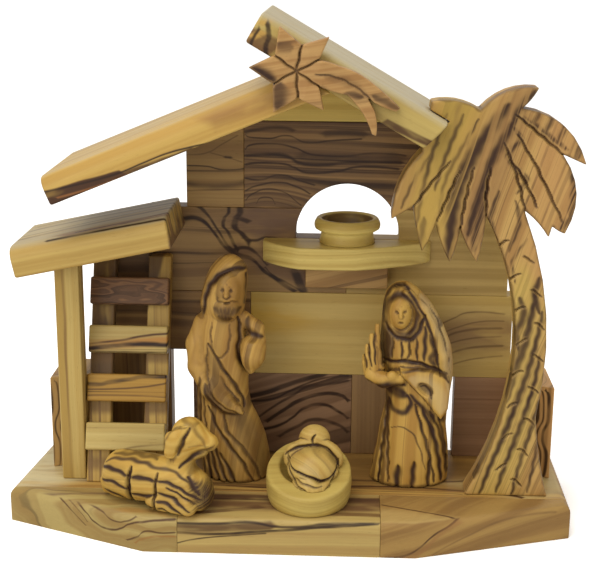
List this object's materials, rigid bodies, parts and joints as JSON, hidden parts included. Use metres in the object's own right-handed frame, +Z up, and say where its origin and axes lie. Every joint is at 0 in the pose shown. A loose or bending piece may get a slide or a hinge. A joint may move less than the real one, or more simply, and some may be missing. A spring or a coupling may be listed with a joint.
{
  "type": "nativity stable",
  "caption": "Wooden nativity stable: board wall under a gable roof with a star, lean-to with ladder, palm, carved figures round a manger, and a candle cup on a shelf in the arched window.",
  "frame": {"origin": "centre of the base's underside, half way between its side corners and between its front and back edges", "axes": "+X to the viewer's right, +Y from the open front to the back wall, +Z up"},
  "size_m": [0.25, 0.0878, 0.2267],
  "materials": {
    "pale_wood": "satin, oiled and sanded smooth",
    "golden_wood": "satin, oiled and sanded smooth",
    "tan_wood": "satin, oiled and sanded smooth",
    "brown_wood": "satin, oiled and sanded smooth",
    "dark_wood": "satin, oiled and sanded smooth"
  },
  "bodies": {
    "root": {"base_back_board": "pale_wood", "base_front_board_left": "pale_wood", "base_front_board_middle": "tan_wood", "base_front_board_right": "golden_wood", "wall_foot_board": "brown_wood", "wall_board_1_left": "dark_wood", "wall_board_1_middle": "tan_wood", "wall_board_1_right": "dark_wood", "wall_board_2_left": "brown_wood", "wall_board_2_right": "pale_wood", "wall_board_3_end": "brown_wood", "wall_board_3_left": "brown_wood", "wall_board_3_right": "pale_wood", "wall_board_4_left": "brown_wood", "wall_board_4_right": "dark_wood", "gable_board": "pale_wood", "roof_left": "pale_wood", "roof_right": "pale_wood", "star": "tan_wood", "leanto_roof": "tan_wood", "leanto_post": "pale_wood", "ladder_rail_left": "pale_wood", "ladder_rail_right": "pale_wood", "ladder_rung_1": "pale_wood", "ladder_rung_2": "golden_wood", "ladder_rung_3": "dark_wood", "ladder_rung_4": "dark_wood", "shelf": "pale_wood", "shelf_bracket": "tan_wood", "candle_cup": "pale_wood", "side_block_left": "brown_wood", "side_block_right": "brown_wood", "palm": "tan_wood", "man": "golden_wood", "woman": "golden_wood", "manger": "pale_wood", "child": "golden_wood", "sheep": "golden_wood"}
  },
  "joints": []
}
